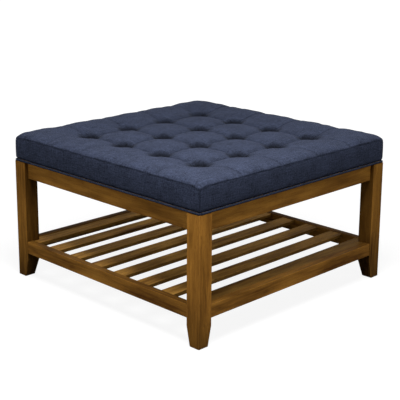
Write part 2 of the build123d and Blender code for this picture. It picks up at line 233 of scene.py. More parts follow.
# %% [markdown]
# ## Stained wood
#
# The frame is a pale hardwood under a walnut-brown stain and a satin lacquer. Seen close, such wood has
# several patterns, all drawn out along the grain: broad streaks and narrower bands where the stain took
# more or less, cloudy patches, growth rings that run nearly straight on the edges and in long arches on the
# faces, and short dark pores. One group makes them from a place whose X axis runs along the grain. The
# rings are the contour lines of a stretched noise, which gives long arches without any drawing.

# %% Stained wood group
stained_wood, takes, gives = new_group(
    "stained wood",
    [
        ("Grain Place", "Vector", None),
        ("Dark Stain", "Color", (0.1, 0.05, 0.02, 1)),
        ("Light Stain", "Color", (0.3, 0.15, 0.05, 1)),
        ("Ring Strength", "Float", 0.4),
    ],
    [("Color", "Color"), ("Roughness", "Float"), ("Height", "Float")],
)
tree = stained_wood
broad_place = vector_calc(tree, "MULTIPLY", takes["Grain Place"], (2.2, 26.0, 26.0))
streaks = noise(tree, broad_place, 1.0, detail=4.0, roughness=0.6, distortion=0.4)
ring_place = vector_calc(tree, "MULTIPLY", takes["Grain Place"], (1.1, 12.0, 12.0))
rings = calc(tree, "SINE", calc(tree, "MULTIPLY", noise(tree, ring_place, 1.0, detail=1.5), 75.0))
rings = spread(tree, rings, -0.6, 1.0)
fine_place = vector_calc(tree, "MULTIPLY", takes["Grain Place"], (14.0, 330.0, 330.0))
fibres = noise(tree, fine_place, 1.0, detail=3.0, roughness=0.6)
pore_place = vector_calc(tree, "MULTIPLY", takes["Grain Place"], (75.0, 1500.0, 1500.0))
pores = spread(tree, noise(tree, pore_place, 1.0, detail=0.0), 0.66, 0.74)
band_place = vector_calc(tree, "MULTIPLY", takes["Grain Place"], (8.0, 80.0, 80.0))
bands = noise(tree, band_place, 1.0, detail=3.0, roughness=0.6, distortion=0.3)
cloud_place = vector_calc(tree, "MULTIPLY", takes["Grain Place"], (5.0, 17.0, 17.0))
cloud = noise(tree, cloud_place, 1.0, detail=3.0)
tone = mix_values(tree, takes["Ring Strength"], spread(tree, streaks, 0.28, 0.72), rings)
tone = calc(tree, "ADD", calc(tree, "MULTIPLY", tone, 0.4), calc(tree, "MULTIPLY", fibres, 0.6))
tone = varied(tree, tone, cloud, 1.5)
tone = varied(tree, tone, bands, 1.0)
color = mix_colors(tree, spread(tree, tone, 0.0, 1.0), takes["Dark Stain"], takes["Light Stain"])
color = mix_colors(tree, calc(tree, "MULTIPLY", pores, 0.45), color, takes["Dark Stain"], "MULTIPLY")
feed(tree, gives["Color"], color)
feed(tree, gives["Roughness"], spread(tree, fibres, 0.3, 0.7, 0.34, 0.50))
height = calc(tree, "SUBTRACT", calc(tree, "MULTIPLY", fibres, 0.5), calc(tree, "MULTIPLY", pores, 0.5))
feed(tree, gives["Height"], height)

# %% [markdown]
# ## Worn edges
#
# Sanding and handling thin the stain wherever two faces meet, so eased edges are a little lighter. On these
# square pieces a face's normal lies along one axis, and a rounded edge's normal lies between two. How far
# the normal is from every axis therefore finds the edges, with no need for painted masks.

# %% Worn edge group
worn_edges, takes, gives = new_group("worn edges", [("Patchiness", "Float", 0.5)], [("Mask", "Float")])
tree = worn_edges
coordinates = tree.nodes.new("ShaderNodeTexCoord")
normal = split(tree, vector_calc(tree, "ABSOLUTE", coordinates.outputs["Normal"]))
steepest = calc(tree, "MAXIMUM", calc(tree, "MAXIMUM", normal[0], normal[1]), normal[2])
edge = spread(tree, calc(tree, "SUBTRACT", 1.0, steepest), 0.04, 0.24)
patches = spread(tree, noise(tree, coordinates.outputs["Object"], 38.0, detail=3.0), 0.35, 0.65)
kept = calc(tree, "SUBTRACT", 1.0, calc(tree, "MULTIPLY", takes["Patchiness"], patches))
feed(tree, gives["Mask"], calc(tree, "MULTIPLY", edge, kept))


# %% [markdown]
# ## Wood finishes
#
# Legs, side pieces and cross pieces are cut along three different directions, so each direction has its own
# material: the same groups with the grain turned. The front left leg gets a lighter copy of the legs' stain,
# as painted light. The shelf's slats vary from one to the next, as boards from different planks do, which a
# random value for each step of the slats' pitch gives. Light and shade are painted into the wood's colour
# as well: the slats' tops are painted lighter and their sides darker, and the slat next to the front rail,
# the tops of the rails and aprons, the legs' faces that turn towards the inside of the table and the feet
# are painted darker, as painted shade. A face's normal finds these faces, and its height finds the feet, so
# this painted shade stays on the wood from wherever it is seen.


# %% Wood finishes
ring_strength = 0.35
slat_pitch = 98.714 * mm
foot_height = 150 * mm
# Painted shade and light: how bright these places are painted against the stain's own colour
rail_top_painted_shade = 0.62
slat_top_painted_light = 1.25
slat_side_painted_shade = 0.55
front_slat_painted_shade = 0.34
inner_leg_painted_shade = 0.45
foot_painted_shade = 0.4


def wood_finish(name, turned, dark, light, worn, slats=False, leg=False, tops=1.0, sides=1.0):
    """Stained wood, grain turned: tops and sides paint light or shade on upward faces and front and back
    ones.
    """
    material, tree, shader = new_material(name)
    place = object_place(tree, turned=turned)
    wood = use_group(
        tree, stained_wood, Grain_Place=place, Dark_Stain=dark, Light_Stain=light, Ring_Strength=ring_strength
    )
    color = wood["Color"]
    if slats:
        depth_place = split(tree, place)[1]
        plank = calc(tree, "FLOOR", calc(tree, "DIVIDE", depth_place, slat_pitch))
        number = tree.nodes.new("ShaderNodeTexWhiteNoise")
        number.noise_dimensions = "1D"
        feed(tree, number.inputs["W"], plank)
        shade = spread(tree, number.outputs[0], 0.0, 1.0, 0.84, 1.14)
        # The slat next to the front rail is painted darker, as painted shade
        shade = calc(tree, "MULTIPLY", shade, spread(tree, depth_place, -0.32, -0.30, front_slat_painted_shade, 1.0))
        color = shaded(tree, color, shade)
    # Painted light or shade on upward faces and on front and back faces
    normal = split(tree, tree.nodes.new("ShaderNodeTexCoord").outputs["Normal"])
    upward = spread(tree, normal[2], 0.5, 0.9, 1.0, tops)
    sideways = spread(tree, calc(tree, "ABSOLUTE", normal[1]), 0.5, 0.9, 1.0, sides)
    color = shaded(tree, color, calc(tree, "MULTIPLY", upward, sideways))
    if leg:
        # Painted shade on the legs' faces that turn inwards and on the feet
        x, y, z = split(tree, object_place(tree))
        outward_x = calc(tree, "MULTIPLY", normal[0], calc(tree, "SIGN", x))
        outward_y = calc(tree, "MULTIPLY", normal[1], calc(tree, "SIGN", y))
        inner = spread(tree, calc(tree, "MINIMUM", outward_x, outward_y), -0.9, -0.5, inner_leg_painted_shade, 1.0)
        near_floor = spread(tree, z, 0.0, foot_height, foot_painted_shade, 1.0)
        color = shaded(tree, color, calc(tree, "MULTIPLY", near_floor, inner))
    edges = use_group(tree, worn_edges, Patchiness=0.5)["Mask"]
    color = mix_colors(tree, calc(tree, "MULTIPLY", edges, 0.25), color, worn)
    tree.links.new(color, shader.inputs["Base Color"])
    tree.links.new(wood["Roughness"], shader.inputs["Roughness"])
    bump(tree, shader, wood["Height"], 0.12 * mm)
    shader.inputs["Specular IOR Level"].default_value = 0.05
    return material


worn_stain = rgb(182, 132, 62)
stains = rgb(88, 54, 19), rgb(177, 124, 52), worn_stain
quarter = math.pi / 2
grain_along_x, grain_along_y, grain_upright = (0, 0, 0), (0, 0, quarter), (0, quarter, 0)
wood_across = wood_finish("wood, grain left to right", grain_along_x, *stains, tops=rail_top_painted_shade)
wood_along = wood_finish("wood, grain front to back", grain_along_y, *stains, tops=rail_top_painted_shade)
wood_upright = wood_finish(
    "wood, grain upright", grain_upright, rgb(84, 52, 18), rgb(168, 117, 48), worn_stain, leg=True
)
# The front left leg gets a lighter copy of the legs' stain: painted light
wood_leg_painted_lighter = wood_finish(
    "wood, leg painted lighter", grain_upright, rgb(100, 62, 22), rgb(198, 138, 58), rgb(204, 150, 74), leg=True
)
wood_slats = wood_finish(
    "wood, shelf slats", grain_along_x, rgb(98, 62, 24), rgb(206, 154, 74), worn_stain,
    slats=True, tops=slat_top_painted_light, sides=slat_side_painted_shade,
)
bare_wood = wood_finish(
    "bare softwood", (0, 0, quarter / 2), rgb(168, 128, 82), rgb(206, 170, 120), rgb(214, 182, 136)
)
dowel_wood = wood_finish(
    "beech dowels", grain_along_x, rgb(176, 134, 92), rgb(206, 168, 124), rgb(210, 176, 134)
)
ply_wood = wood_finish("plywood", grain_along_x, rgb(170, 130, 84), rgb(206, 168, 116), rgb(200, 164, 116))

for name, node in nodes.items():
    finish = None
    if name == "leg_front_left":
        finish = wood_leg_painted_lighter
    elif name.startswith("leg_") and name.count("_") == 2:
        finish = wood_upright
    elif name.startswith("slat_"):
        finish = wood_slats
    elif name in ("apron_front", "apron_back", "lower_rail_front", "lower_rail_back"):
        finish = wood_across
    elif name in ("apron_left", "apron_right", "lower_rail_left", "lower_rail_right"):
        finish = wood_along
    elif name.startswith("corner_block_") and name != "corner_block_screws":
        finish = bare_wood
    elif name == "apron_dowels":
        finish = dowel_wood
    elif name == "seat_board":
        finish = ply_wood
    if finish:
        node.data.materials.clear()
        node.data.materials.append(finish)
        print(name, "gets", finish.name)


# %% [markdown]
# ## Fittings and hidden pieces
#
# The hanger bolts, nuts, washers and screws are zinc plated, bright but a little cloudy. The glides are
# moulded nylon. Foam and twine are out of sight inside the seat, but each still gets a finish of its own,
# because a part may be opened or cut.


# %% Fittings and hidden pieces
def plain_finish(name, dark, light, scale, roughness, metallic=0.0, depth=0.05 * mm):
    """A finish with one kind of mottling: colour, roughness and bump all follow the same noise."""
    material, tree, shader = new_material(name)
    mottle = noise(tree, object_place(tree), scale, detail=3.0, roughness=0.6)
    color = mix_colors(tree, spread(tree, mottle, 0.3, 0.7), dark, light)
    tree.links.new(color, shader.inputs["Base Color"])
    low, high = roughness
    tree.links.new(spread(tree, mottle, 0.3, 0.7, low, high), shader.inputs["Roughness"])
    bump(tree, shader, mottle, depth)
    shader.inputs["Metallic"].default_value = metallic
    return material


zinc = plain_finish("zinc plate", rgb(168, 170, 170), rgb(206, 208, 206), 260.0, (0.24, 0.44), metallic=1.0)
yellow_zinc = plain_finish(
    "yellow zinc plate", rgb(176, 156, 104), rgb(208, 190, 140), 260.0, (0.26, 0.42), metallic=1.0
)
nylon = plain_finish("moulded nylon", rgb(44, 34, 28), rgb(60, 48, 40), 420.0, (0.42, 0.56))
foam = plain_finish("cut foam", rgb(212, 204, 172), rgb(232, 226, 200), 900.0, (0.85, 0.95), depth=0.4 * mm)
twine = plain_finish(
    "waxed twine", rgb(168, 156, 128), rgb(206, 196, 170), 1400.0, (0.6, 0.8), depth=0.2 * mm
)
fittings = {
    "leg_bolts": zinc,
    "bolt_washers": zinc,
    "bolt_nuts": zinc,
    "corner_block_screws": yellow_zinc,
    "seat_screws": yellow_zinc,
    "leg_glides": nylon,
    "foam_core": foam,
    "tuft_twine": twine,
}
for name, finish in fittings.items():
    nodes[name].data.materials.clear()
    nodes[name].data.materials.append(finish)

# %% [markdown]
# ## Woven cloth
#
# The cover is a plain weave of slubby, linen-like yarn: one set of threads goes over and under the other,
# like a chessboard. The pattern is worked out from the cloth's own two directions, in metres, which each
# piece carries as its UV map, so the threads follow every fold. Where the product of two sine waves is
# positive the lengthwise thread is on top, and elsewhere the crosswise one. Every thread has its own shade,
# drawn from a noise that is stretched along it. Soft flecks and a few thicker yarns, both ways, add the
# coarser mottling that still shows where single threads are too fine to see.

# %% Woven cloth group
woven_cloth, takes, gives = new_group(
    "woven cloth",
    [
        ("Cloth Place", "Vector", None),
        ("Threads per Metre", "Float", 900.0),
        ("Dark Thread", "Color", (0.02, 0.03, 0.05, 1)),
        ("Light Thread", "Color", (0.06, 0.07, 0.11, 1)),
        ("Slub", "Float", 1.0),
    ],
    [("Color", "Color"), ("Roughness", "Float"), ("Height", "Float")],
)
tree = woven_cloth
sway = noise(tree, takes["Cloth Place"], 70.0, detail=2.0)
sway = calc(tree, "MULTIPLY", calc(tree, "SUBTRACT", sway, 0.5), 1.6 * mm)
swayed = vector_calc(tree, "ADD", takes["Cloth Place"], combine(tree, sway, sway, 0.0))
threads = vector_calc(tree, "SCALE", swayed)
feed(tree, threads.node.inputs["Scale"], takes["Threads per Metre"])
across, along, _ = split(tree, threads)
sine_across = calc(tree, "SINE", calc(tree, "MULTIPLY", across, math.pi))
sine_along = calc(tree, "SINE", calc(tree, "MULTIPLY", along, math.pi))
lengthwise_on_top = calc(tree, "GREATER_THAN", calc(tree, "MULTIPLY", sine_across, sine_along), 0.0)
ridge_across = calc(tree, "ABSOLUTE", sine_across)
ridge_along = calc(tree, "ABSOLUTE", sine_along)
lengthwise = calc(tree, "MULTIPLY", ridge_across, calc(tree, "MULTIPLY_ADD", ridge_along, 0.45, 0.55))
crosswise = calc(tree, "MULTIPLY", ridge_along, calc(tree, "MULTIPLY_ADD", ridge_across, 0.45, 0.55))
height = mix_values(tree, lengthwise_on_top, crosswise, lengthwise)
# Noise changes at once from a thread to the next, and slowly along each one
next_thread, along_thread = 0.713, 0.045
thread_number = calc(tree, "MULTIPLY", calc(tree, "FLOOR", across), next_thread)
lengthwise_place = combine(tree, thread_number, calc(tree, "MULTIPLY", along, along_thread), 3.1)
thread_number = calc(tree, "MULTIPLY", calc(tree, "FLOOR", along), next_thread)
crosswise_place = combine(tree, calc(tree, "MULTIPLY", across, along_thread), thread_number, 7.7)
lengthwise_shade = noise(tree, lengthwise_place, 1.0, detail=3.0, roughness=0.65)
crosswise_shade = noise(tree, crosswise_place, 1.0, detail=3.0, roughness=0.65)
shade = mix_values(tree, lengthwise_on_top, crosswise_shade, lengthwise_shade)
shade = varied(tree, 0.5, shade, takes["Slub"])
patches = noise(tree, takes["Cloth Place"], 16.0, detail=3.0)
shade = varied(tree, shade, patches, 0.3)
flecks = noise(tree, takes["Cloth Place"], 240.0, detail=2.0)
shade = varied(tree, shade, flecks, 0.8)
for stretch in ((330.0, 28.0, 1.0), (28.0, 330.0, 1.0)):
    thick_yarns = noise(tree, vector_calc(tree, "MULTIPLY", takes["Cloth Place"], stretch), 1.0, detail=2.0)
    shade = varied(tree, shade, thick_yarns, 0.4)
color = mix_colors(tree, spread(tree, shade, 0.2, 0.8), takes["Dark Thread"], takes["Light Thread"])
# The low places between the threads are painted darker: painted shade
feed(tree, gives["Color"], shaded(tree, color, spread(tree, height, 0.0, 0.6, 0.62, 1.0)))
feed(tree, gives["Roughness"], spread(tree, shade, 0.3, 0.7, 0.92, 0.78))
feed(tree, gives["Height"], calc(tree, "ADD", height, calc(tree, "MULTIPLY", shade, 0.5)))


# %% [markdown]
# ## Cloth finishes
#
# All of the cover is cut from one cloth. A little of the shader's sheen stands for the fine fibres that
# stand up from it. Shade is painted into the cloth's colour deep in a fold or seam, where little light gets
# in. Each piece carries that painted shade as a value for every point, called fold, and the finish multiplies
# the colour by what is left. The piping is cut on the bias, with its threads at 45 degrees, so that it bends
# round corners.


# %% Cloth finishes
fold_darkening = 0.88


def cloth_finish(name, dark, light, threads=950.0, sheen=0.04, bias=0.0, slub=1.0):
    """Woven cloth from a dark and a light thread: bias turns the weave, and slub makes the threads uneven."""
    material, tree, shader = new_material(name)
    uv = tree.nodes.new("ShaderNodeUVMap")
    uv.uv_map = "cloth"
    mapping = tree.nodes.new("ShaderNodeMapping")
    mapping.inputs["Rotation"].default_value = (0, 0, bias)
    tree.links.new(uv.outputs[0], mapping.inputs["Vector"])
    cloth = use_group(
        tree, woven_cloth, Cloth_Place=mapping.outputs[0], Threads_per_Metre=threads, Dark_Thread=dark,
        Light_Thread=light, Slub=slub,
    )
    # Painted shade: the colour is darkened by the fold value
    fold = tree.nodes.new("ShaderNodeAttribute")
    fold.attribute_name = "fold"
    kept = calc(tree, "SUBTRACT", 1.0, calc(tree, "MULTIPLY", fold.outputs["Fac"], fold_darkening))
    tree.links.new(shaded(tree, cloth["Color"], kept), shader.inputs["Base Color"])
    tree.links.new(cloth["Roughness"], shader.inputs["Roughness"])
    bump(tree, shader, cloth["Height"], 0.22 * mm)
    shader.inputs["Sheen Weight"].default_value = sheen
    shader.inputs["Sheen Roughness"].default_value = 0.5
    shader.inputs["Sheen Tint"].default_value = (0.46, 0.54, 0.82, 1.0)
    shader.inputs["Specular IOR Level"].default_value = 0.1
    return material


dark_navy, light_navy = rgb(24, 28, 39), rgb(67, 75, 99)
navy_cloth = cloth_finish("navy cloth", dark_navy, light_navy)
navy_bias_cloth = cloth_finish("navy cloth on the bias", dark_navy, light_navy, bias=math.pi / 4)
dust_cloth = cloth_finish(
    "black dust cover", rgb(24, 24, 24), rgb(40, 40, 40), threads=1500.0, sheen=0.05, slub=1.6
)


# %% [markdown]
# ## Surfaces from formulas
#
# Each new piece is a grid of points worked out from two parameters, joined by four-sided faces. Its UV map
# holds the same two directions in metres, so that the weave has its true scale. A value called fold holds
# the painted shade of each point, deep in a fold or seam.


# %% Surfaces from formulas
def grid_faces(rows, columns):
    """The corner numbers of all faces of a grid whose points are numbered row by row."""
    number = np.arange(rows * columns).reshape(rows, columns)
    corners = (number[:-1, :-1], number[1:, :-1], number[1:, 1:], number[:-1, 1:])
    return np.stack(corners, axis=-1).reshape(-1, 4)


def cloth_object(name, points, faces, uv, finish, *replaced):
    """A piece of cloth from its points, faces and UV map, riding on the table."""
    mesh = bpy.data.meshes.new(name)
    mesh.from_pydata(points.tolist(), [], [list(face) for face in faces])
    layer = mesh.uv_layers.new(name="cloth")
    corner = np.empty(len(mesh.loops), dtype=np.int32)
    mesh.loops.foreach_get("vertex_index", corner)
    layer.data.foreach_set("uv", np.ascontiguousarray(uv[corner], dtype=np.float32).ravel())
    mesh.polygons.foreach_set("use_smooth", np.ones(len(mesh.polygons), dtype=bool))
    mesh.materials.append(finish)
    piece = bpy.data.objects.new(name, mesh)
    bpy.context.collection.objects.link(piece)
    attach(piece, "root")
    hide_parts(*replaced)
    print(name, "has", len(mesh.polygons), "faces")
    return piece


def shade_folds(piece, depth):
    """Writes the painted shade of each point, deep in a fold or seam. Points after the given ones get 0."""
    values = np.zeros(len(piece.data.vertices), dtype=np.float32)
    values[: depth.size] = depth.ravel()
    piece.data.attributes.new("fold", "FLOAT", "POINT").data.foreach_set("value", values)


def quarter_turned(points, quarters):
    """The same points after quarter turns round the middle of the table."""
    x, y = points[..., 0], points[..., 1]
    for _ in range(quarters):
        x, y = -y, x
    return np.stack([x, y, points[..., 2]], axis=-1)


def ripple(position, lengths, seed):
    """A wandering wave of height about 1: sine waves of several lengths in metres, started at random."""
    chance = np.random.default_rng(seed)
    waves = [np.sin(2 * np.pi * position / length + chance.uniform(0, 2 * np.pi)) for length in lengths]
    return sum(waves) / math.sqrt(len(lengths))


# %% [markdown]
# ## The tufted top
#
# The top is a height for every place on the cushion. It starts as one flat crown that rolls down to the
# seam at its four edges, with a dip at each corner, and it is a little lower among the buttons than round
# them. Each button draws a deep funnel into it, with short gathers round its rim, and the cloth between two
# buttons lies in a valley. A filled pillow is flat on top and steepest at the fold, so its side follows a
# quarter of an ellipse. A broad shallow dip joins the sharp folds to the pillows. From the outer buttons a
# pleat runs straight out to the edge: the cloth is folded over there, which leaves a small step. All pleats
# are folded the same way round the cushion. The grid's lines are close together along the folds and wide
# apart on the pillows, which keeps the folds sharp with few faces.

# %% Heights of the tufted top
tuft_pitch = 155 * mm
tuft_lines = tuft_pitch * (np.arange(4) - 1.5)
last_tuft = tuft_lines[-1]
seam_half = 393.2 * mm
seam_level = 437.2 * mm
crown = 19.5 * mm
corner_round = 5 * mm
corner_dip, corner_reach = 5.5 * mm, 20 * mm
field_dip = 7 * mm
hollow_depth = 8 * mm
valley_depth = 7.5 * mm
pleat_depth = 2.1 * mm
funnel_radius, funnel_depth, funnel_reach = 22.5 * mm, 14 * mm, 46 * mm
deepest, levelling = 27.3 * mm, 3 * mm


def shoulder(nearness):
    """1 at the fold and 0 on the pillow, along a quarter of an ellipse: flat on top, upright at the fold."""
    return 1 - np.sqrt(1 - np.clip(nearness, 0, 1) ** 2)


def edge_roll(inside):
    """How much of the crown is reached at a distance inside the seam: a quick roll and a slow rise."""
    roll = np.sqrt(1 - np.clip(1 - inside / (20 * mm), 0, 1) ** 2)
    rise = 1 - np.clip(1 - inside / (80 * mm), 0, 1) ** 2
    return 0.6 * roll + 0.4 * rise


def corner_sink(inside_x, inside_y):
    """How far the seam sinks near a corner, where a boxed cushion is less full: a bell-shaped dip."""
    return corner_dip * np.exp(-((np.hypot(inside_x, inside_y) / corner_reach) ** 2))


def field(place):
    """1 among the buttons and 0 near the seam, with an S-shaped step between."""
    share = np.clip((350 * mm - np.abs(place)) / (90 * mm), 0, 1)
    return share**2 * (3 - 2 * share)


def hollow(side, along):
    """The broad dip of the pillows towards the lines of buttons: side is the place across the lines."""
    off = np.abs(side[..., None] - tuft_lines).min(axis=-1)
    outside = np.clip((np.abs(along) - last_tuft - 35 * mm) / (75 * mm), 0, 1)
    kept = 0.25 + 0.75 * (1 - outside) ** 2
    return hollow_depth * np.clip(1 - off / (tuft_pitch / 2), 0, 1) ** 2 * kept


def valley(side, along):
    """The sharp part of the folds between the buttons."""
    off = np.abs(side[..., None] - tuft_lines).min(axis=-1)
    from_tuft = np.abs(along[..., None] - tuft_lines).min(axis=-1)
    depth = valley_depth * (1 - np.exp(-((from_tuft / (32 * mm)) ** 2)))
    fade = np.clip(1 - (np.abs(along) - last_tuft) / (40 * mm), 0, 1) ** 1.5
    return depth * fade * shoulder(1 - off / (26 * mm))


def pleat(side, along, turn):
    """Depth of the step beside each pleat: it is sharp on one side and runs out slowly on the other."""
    off = (side[..., None] - tuft_lines) * turn * np.sign(along)[..., None]
    nearest = np.take_along_axis(off, np.abs(off).argmin(axis=-1)[..., None], axis=-1)[..., 0]
    step = np.clip(nearest / (1.2 * mm), 0, 1) * np.exp(-np.maximum(nearest, 0) / (13 * mm))
    beyond = np.clip((np.abs(along) - last_tuft - 6 * mm) / (20 * mm), 0, 1)
    return pleat_depth * step * beyond


def nearest_tuft(x, y):
    """The number of the nearest button both ways, and the distance and direction from it."""
    near_x, near_y = (np.abs(place[..., None] - tuft_lines).argmin(axis=-1) for place in (x, y))
    far_x, far_y = x - tuft_lines[near_x], y - tuft_lines[near_y]
    return near_x, near_y, np.hypot(far_x, far_y), np.arctan2(far_y, far_x)


def drawn_in(x, y):
    """Moves points near a button towards the steep wall of its funnel, which needs more of them."""
    near_x, near_y, radius, angle = nearest_tuft(x, y)
    even_radii, drawn_radii = (0, 11, 15, 28, 36, 46), (0, 13, 16, 23.5, 33, 46)
    wanted = np.interp(radius / mm, even_radii, drawn_radii) * mm
    moved_x = tuft_lines[near_x] + wanted * np.cos(angle)
    moved_y = tuft_lines[near_y] + wanted * np.sin(angle)
    inside = radius < funnel_reach
    return np.where(inside, moved_x, x), np.where(inside, moved_y, y)


def top_height(x, y):
    """Height of the cloth above the floor: the crown, less the folds and the funnels."""
    inside_x, inside_y = seam_half - np.abs(x), seam_half - np.abs(y)
    # The lower of the two rolls counts, with a smooth change from one to the other in the corners
    roll_x, roll_y = (np.maximum(edge_roll(inside), 0.01) for inside in (inside_x, inside_y))
    roll = (roll_x**-4 + roll_y**-4 - 1) ** -0.25
    near_x, near_y, radius, angle = nearest_tuft(x, y)
    # Short gathers fan out from each button, different at each one
    start = near_x * 2.1 + near_y * 3.7
    gathers = np.sin(9 * angle + start) + 0.6 * np.sin(14 * angle + 2.3 * start)
    gathers = gathers * np.exp(-(((radius - 23 * mm) / (11 * mm)) ** 2))
    bowl = funnel_depth * shoulder(1 - (radius - funnel_radius + 0.6 * mm * gathers) / (17.5 * mm))
    wall = 5 * mm * np.clip((funnel_radius - radius) / (4 * mm), 0, 1)
    folds = [valley(x, y), valley(y, x), bowl]
    drop = sum((fold / mm) ** 3 for fold in folds) ** (1 / 3) * mm
    drop = drop + wall + hollow(x, y) + hollow(y, x) + field_dip * field(x) * field(y)
    # Near the deepest place the drop levels off
    past = drop - (deepest - levelling)
    drop = np.where(past > 0, deepest - levelling * np.exp(-past / levelling), drop)
    drop = drop + (pleat(x, y, 1) + pleat(y, x, -1)) * (1 - bowl / funnel_depth)
    # The cloth is never quite even
    uneven = ripple(x + 0.35 * y, (0.071, 0.043, 0.118), 5) * ripple(y - 0.28 * x, (0.064, 0.037, 0.131), 9)
    pucker = ripple(x, (0.013, 0.019, 0.031), 3) * np.exp(-inside_y / (9 * mm))
    pucker = pucker + ripple(y, (0.014, 0.021, 0.027), 4) * np.exp(-inside_x / (9 * mm))
    puff = ripple(x, (0.23, 0.117, 0.064), 13) * np.exp(-inside_y / (45 * mm))
    puff = puff + ripple(y, (0.21, 0.126, 0.059), 14) * np.exp(-inside_x / (45 * mm))
    fine = (0.5 * uneven + 0.3 * pucker + 1.3 * puff) * mm * np.clip(roll * 2, 0, 1)
    level = seam_level - corner_sink(inside_x, inside_y)
    return level + crown * roll - drop * np.clip(roll * 1.5, 0, 1) + fine


def fold_shade(x, y):
    """How much light is kept out: 1 in the funnels, fading over their rims, and less in the folds."""
    radius = nearest_tuft(x, y)[2]
    funnel = np.clip((funnel_reach - radius) / (24 * mm), 0, 1) ** 1.15
    valleys = np.clip((valley(x, y) + valley(y, x)) / valley_depth, 0, 1) ** 0.6
    pleats = (pleat(x, y, 1) + pleat(y, x, -1)) / pleat_depth
    return np.maximum(funnel, np.maximum(0.42 * valleys, 0.5 * pleats**2))


def close_near(lines, half, near, wide, reach):
    """Places from -half to half that are near apart within reach of the lines and wide apart elsewhere."""
    places = np.linspace(-half, half, 6001)
    off = np.abs(places[:, None] - np.asarray(lines)).min(axis=-1)
    step = near + (wide - near) * np.clip((off - reach) / (2 * reach), 0, 1)
    count = np.concatenate([[0], np.cumsum(np.diff(places) / step[1:])])
    chosen = np.interp(np.linspace(0, count[-1], int(count[-1]) + 1), count, places)
    for line in lines:
        if abs(line) < half:
            chosen[np.abs(chosen - line).argmin()] = line
    return chosen


# %% [markdown]
# The grid ends at the seam. Below it the cloth turns in and goes down beside the foam, and a flat underside
# closes the shape. These turned-in rings copy the grid's outline, drawn in a little more each time.

# %% The tufted top
underside_level = 416 * mm
# How far in from the seam each ring lies, and its height, both in millimetres
turned_in_rings = ((0.5, 436.9), (1.3, 436.3), (2.4, 434.0), (2.6, 416.0))
lines = close_near([*tuft_lines, -seam_half, seam_half], seam_half, 1.3 * mm, 3.6 * mm, 20 * mm)
grid_x, grid_y = np.meshgrid(lines, lines, indexing="ij")
drawn_x, drawn_y = drawn_in(grid_x, grid_y)
top_z = top_height(drawn_x, drawn_y)
# The outline's corners are rounded: a small square there is mapped to a quarter of a disc
past_x, past_y = (np.abs(place) - (seam_half - corner_round) for place in (drawn_x, drawn_y))
rounding = np.where(
    (past_x > 0) & (past_y > 0), np.maximum(past_x, past_y) / np.maximum(np.hypot(past_x, past_y), 1e-9), 1
)
drawn_x = drawn_x - np.sign(drawn_x) * past_x * (1 - rounding)
drawn_y = drawn_y - np.sign(drawn_y) * past_y * (1 - rounding)
top_points = np.stack([drawn_x, drawn_y, top_z], axis=-1)
count = len(lines)
number = np.arange(count * count).reshape(count, count)
outline = np.concatenate([number[:-1, 0], number[-1, :-1], number[:0:-1, -1], number[0, :0:-1]])
points = [top_points.reshape(-1, 3)]
uv = [np.stack([grid_x, grid_y], axis=-1).reshape(-1, 2)]
faces = [list(face) for face in grid_faces(count, count)]
rim = points[0][outline]
rim_sink = corner_sink(seam_half - np.abs(rim[:, 0]), seam_half - np.abs(rim[:, 1]))
previous = outline
for turned_in, level in turned_in_rings:
    ring = rim * ((seam_half - turned_in * mm) / seam_half)
    ring[:, 2] = np.maximum(level * mm - rim_sink, underside_level)
    ring_number = len(points[0]) + sum(len(part) for part in points[1:]) + np.arange(len(ring))
    points.append(ring)
    uv.append(ring[:, :2])
    after = np.roll(previous, -1), np.roll(ring_number, -1)
    faces.extend(np.stack([previous, ring_number, after[1], after[0]], axis=-1).tolist())
    previous = ring_number
faces.append(previous[::-1].tolist())
cushion_top = cloth_object(
    "cushion_top", np.concatenate(points), faces, np.concatenate(uv), navy_cloth, "tufted_top"
)
shade_folds(cushion_top, fold_shade(drawn_x, drawn_y))

# %% [markdown]
# ## The boxed sides
#
# Four strips of the same cloth make the cushion's sides. Each is sewn to the top along its upper edge, to
# the piping along its lower edge and to its neighbours at the corners. The foam pushes it out a little in
# the middle, and at every seam the cloth turns in, which leaves the fine dark line of a sewn edge; painted
# shade along the seams darkens that line further. The lower edge tucks furthest in, above the piping. The
# ends bend round half of each rounded corner. Near the seams the thread draws the cloth into shallow
# puckers.

# %% The boxed sides
panel_low, panel_high = 371.5 * mm, 436.9 * mm
panel_half = 393.4 * mm


